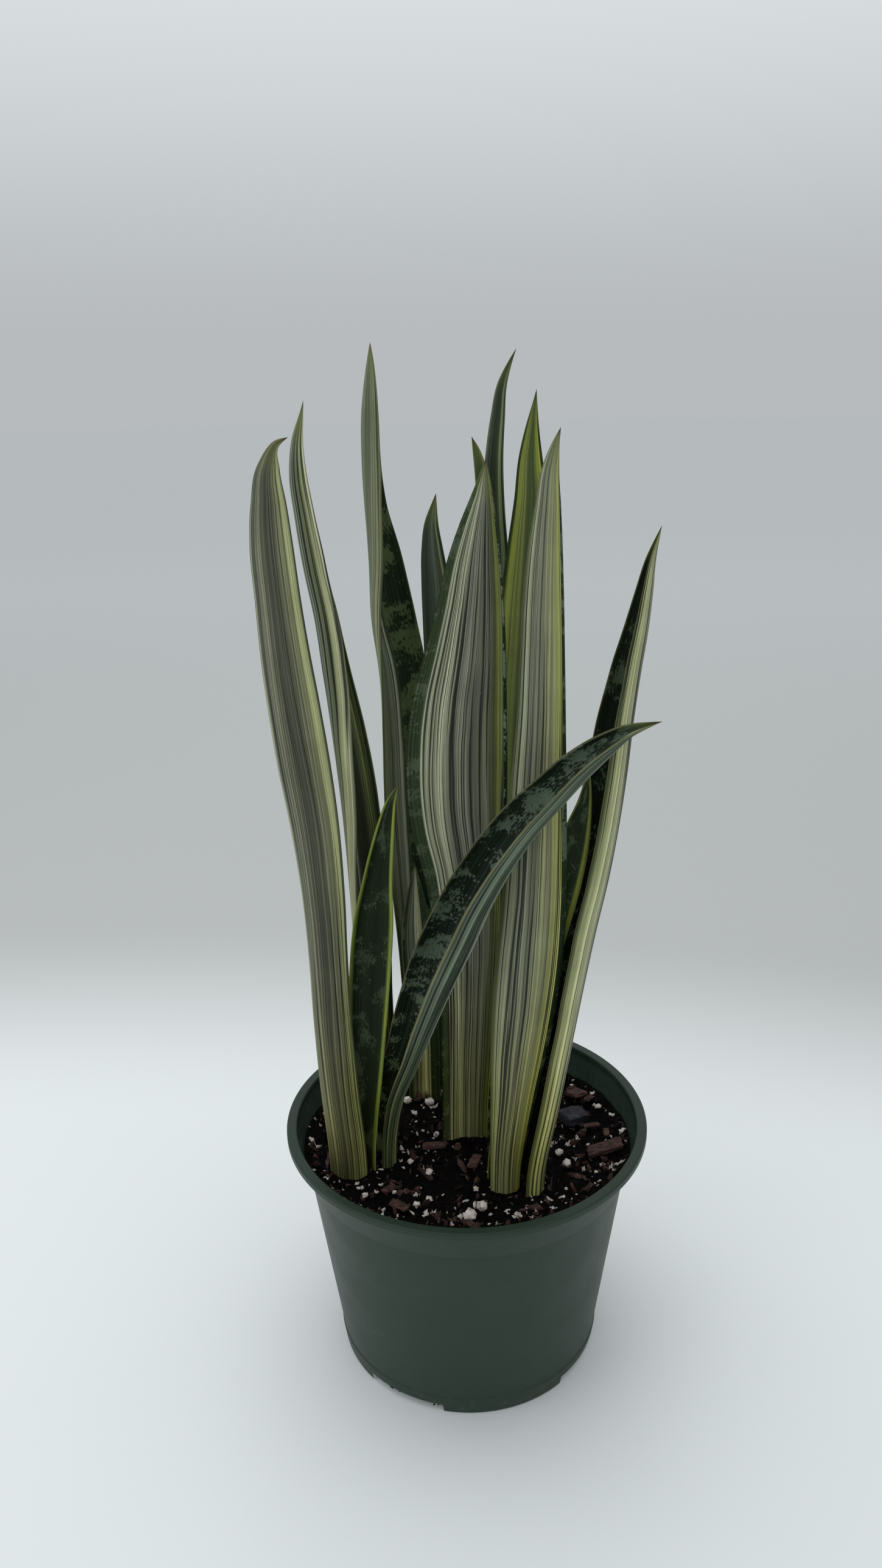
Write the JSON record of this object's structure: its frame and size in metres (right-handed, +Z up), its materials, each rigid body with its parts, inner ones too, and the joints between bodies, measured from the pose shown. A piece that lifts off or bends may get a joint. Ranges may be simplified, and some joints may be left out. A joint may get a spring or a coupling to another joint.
{
  "type": "potted snake plant",
  "caption": "Variegated snake plant with upright, folded and arching sword leaves, growing from chunky soil in a round tapered plastic nursery pot.",
  "frame": {"origin": "on the pot's axis, on the flat underside of its floor", "axes": "+Z up along the pot's axis, -Y towards the front of the plant, +X to its right"},
  "size_m": [0.1524, 0.1524, 0.4171],
  "materials": {
    "pot_plastic": "satin",
    "soil": "matte",
    "bark": "matte",
    "perlite": "matte",
    "leaf_striped": "satin",
    "leaf_yellow": "satin",
    "leaf_dark": "satin"
  },
  "bodies": {
    "root": {"bark_chip_01": "bark", "bark_chip_02": "bark", "bark_chip_03": "bark", "bark_chip_04": "bark", "bark_chip_05": "bark", "bark_chip_06": "bark", "bark_chip_07": "bark", "bark_chip_08": "bark", "bark_chip_09": "bark", "bark_chip_10": "bark", "bark_chip_11": "bark", "leaf_arching": "leaf_dark", "leaf_back_hidden": "leaf_dark", "leaf_back_short": "leaf_striped", "leaf_back_slender": "leaf_striped", "leaf_back_small": "leaf_striped", "leaf_back_tallest": "leaf_striped", "leaf_back_yellow": "leaf_yellow", "leaf_centre_wide": "leaf_striped", "leaf_left_folded": "leaf_striped", "leaf_left_front": "leaf_striped", "leaf_left_short": "leaf_dark", "leaf_right_folded": "leaf_striped", "leaf_right_front": "leaf_striped", "leaf_right_young": "leaf_dark", "perlite_01": "perlite", "perlite_02": "perlite", "perlite_03": "perlite", "perlite_04": "perlite", "perlite_05": "perlite", "perlite_06": "perlite", "perlite_07": "perlite", "perlite_08": "perlite", "perlite_09": "perlite", "perlite_10": "perlite", "perlite_11": "perlite", "perlite_12": "perlite", "perlite_13": "perlite", "perlite_14": "perlite", "perlite_15": "perlite", "perlite_16": "perlite", "pot": "pot_plastic", "soil": "soil"}
  },
  "joints": []
}
